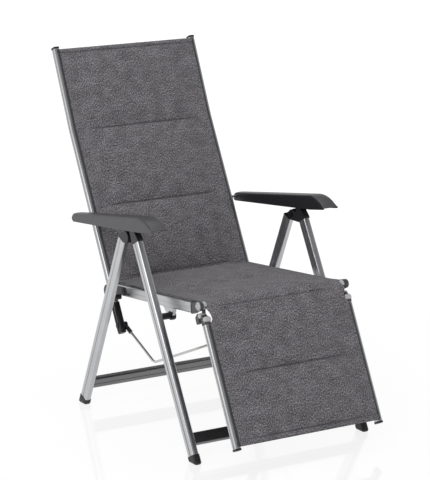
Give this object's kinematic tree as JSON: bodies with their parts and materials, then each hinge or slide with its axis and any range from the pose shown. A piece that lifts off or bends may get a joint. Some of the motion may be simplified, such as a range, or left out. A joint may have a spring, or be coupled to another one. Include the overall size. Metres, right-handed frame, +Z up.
{
  "type": "reclining garden armchair",
  "caption": "Folding reclining garden armchair with flat-tube aluminium legs, padded fabric back and seat, linked footrest and notched armrests.",
  "frame": {"origin": "middle of the bounding box on the floor", "axes": "+Z up, the chair faces -Y, +X is the sitter's left"},
  "size_m": [0.66, 1.1226, 1.1009],
  "materials": {
    "frame_aluminium": "satin",
    "graphite_aluminium": "satin",
    "black_plastic": "matte",
    "grey_plastic": "satin",
    "hinge_plastic": "satin",
    "steel": "satin",
    "melange_fabric": "woven melange"
  },
  "bodies": {
    "front_frame": {"front_leg_left": "frame_aluminium", "front_leg_right": "frame_aluminium", "front_stretcher": "graphite_aluminium", "front_foot_caps": "black_plastic", "leg_top_block_left": "black_plastic", "leg_top_block_right": "black_plastic", "notch_pins": "steel", "leg_pivot_bolts": "steel", "seat_spacers": "black_plastic", "seat_pivot_bolts": "steel"},
    "rear_frame": {"rear_leg_left": "frame_aluminium", "rear_leg_right": "frame_aluminium", "rear_stretcher": "graphite_aluminium", "rear_foot_caps": "black_plastic", "rear_knuckle_left": "black_plastic", "rear_knuckle_right": "black_plastic", "seat_rest_pins": "black_plastic"},
    "seat_frame": {"seat_rail_left": "frame_aluminium", "seat_rail_right": "frame_aluminium", "seat_ears": "frame_aluminium", "seat_front_fitting_left": "hinge_plastic", "seat_front_fitting_right": "hinge_plastic", "seat_rear_fitting_left": "hinge_plastic", "seat_rear_fitting_right": "hinge_plastic", "back_hinge_bolts": "steel", "knee_cross_tube": "frame_aluminium", "seat_rear_cross_tube": "frame_aluminium", "seat_pad": "melange_fabric"},
    "back_frame": {"back_rail_left": "frame_aluminium", "back_rail_right": "frame_aluminium", "back_top_caps": "black_plastic", "back_bottom_caps": "black_plastic", "back_upper_cross_tube": "frame_aluminium", "back_lower_cross_tube": "frame_aluminium", "armrest_pegs": "steel", "back_rod_bolts": "steel", "back_pad": "melange_fabric"},
    "footrest": {"footrest_rail_left": "frame_aluminium", "footrest_rail_right": "frame_aluminium", "footrest_fitting_left": "hinge_plastic", "footrest_fitting_right": "hinge_plastic", "footrest_end_caps": "black_plastic", "footrest_cross_tube": "frame_aluminium", "footrest_rod_bolts": "steel", "footrest_pad": "melange_fabric"},
    "push_rod_left": {"push_rod_left": "steel", "push_rod_eyes_left": "black_plastic"},
    "push_rod_right": {"push_rod_right": "steel", "push_rod_eyes_right": "black_plastic"},
    "armrest_left": {"armrest_left": "grey_plastic", "armrest_rack_left": "black_plastic"},
    "armrest_right": {"armrest_right": "grey_plastic", "armrest_rack_right": "black_plastic"}
  },
  "joints": [
    {"name": "rear_legs_close", "type": "hinge", "parent": "front_frame", "child": "rear_frame", "pos_m": [0, -0.00432, 0.59996], "axis": [-1, 0, 0], "range_deg": [0, 53.4]},
    {"name": "seat_lift", "type": "hinge", "parent": "front_frame", "child": "seat_frame", "pos_m": [0, -0.17769, 0.39], "axis": [1, 0, 0], "range_deg": [0, 5]},
    {"name": "back_recline", "type": "hinge", "parent": "seat_frame", "child": "back_frame", "pos_m": [0, 0.18768, 0.383], "axis": [-1, 0, 0], "range_deg": [-10, 20]},
    {"name": "footrest_swing", "type": "hinge", "parent": "seat_frame", "child": "footrest", "pos_m": [0, -0.35034, 0.459], "axis": [-1, 0, 0], "range_deg": [-10, 20]},
    {"name": "push_rod_left_pivot", "type": "hinge", "parent": "back_frame", "child": "push_rod_left", "pos_m": [-0.2333, 0.13428, 0.28341], "axis": [-1, 0, 0], "range_deg": [-20, 10]},
    {"name": "push_rod_right_pivot", "type": "hinge", "parent": "back_frame", "child": "push_rod_right", "pos_m": [0.2333, 0.13428, 0.28341], "axis": [-1, 0, 0], "range_deg": [-20, 10]},
    {"name": "armrest_left_pivot", "type": "hinge", "parent": "back_frame", "child": "armrest_left", "pos_m": [-0.303, 0.30487, 0.60156], "axis": [-1, 0, 0], "range_deg": [-14, 7]},
    {"name": "armrest_right_pivot", "type": "hinge", "parent": "back_frame", "child": "armrest_right", "pos_m": [0.303, 0.30487, 0.60156], "axis": [-1, 0, 0], "range_deg": [-14, 7]}
  ],
  "couplings": [
    {"joint": "footrest_swing", "follows": "back_recline", "ratio": 1},
    {"joint": "push_rod_left_pivot", "follows": "back_recline", "ratio": -1},
    {"joint": "push_rod_right_pivot", "follows": "back_recline", "ratio": -1},
    {"joint": "armrest_left_pivot", "follows": "back_recline", "ratio": -0.7},
    {"joint": "armrest_right_pivot", "follows": "back_recline", "ratio": -0.7}
  ]
}
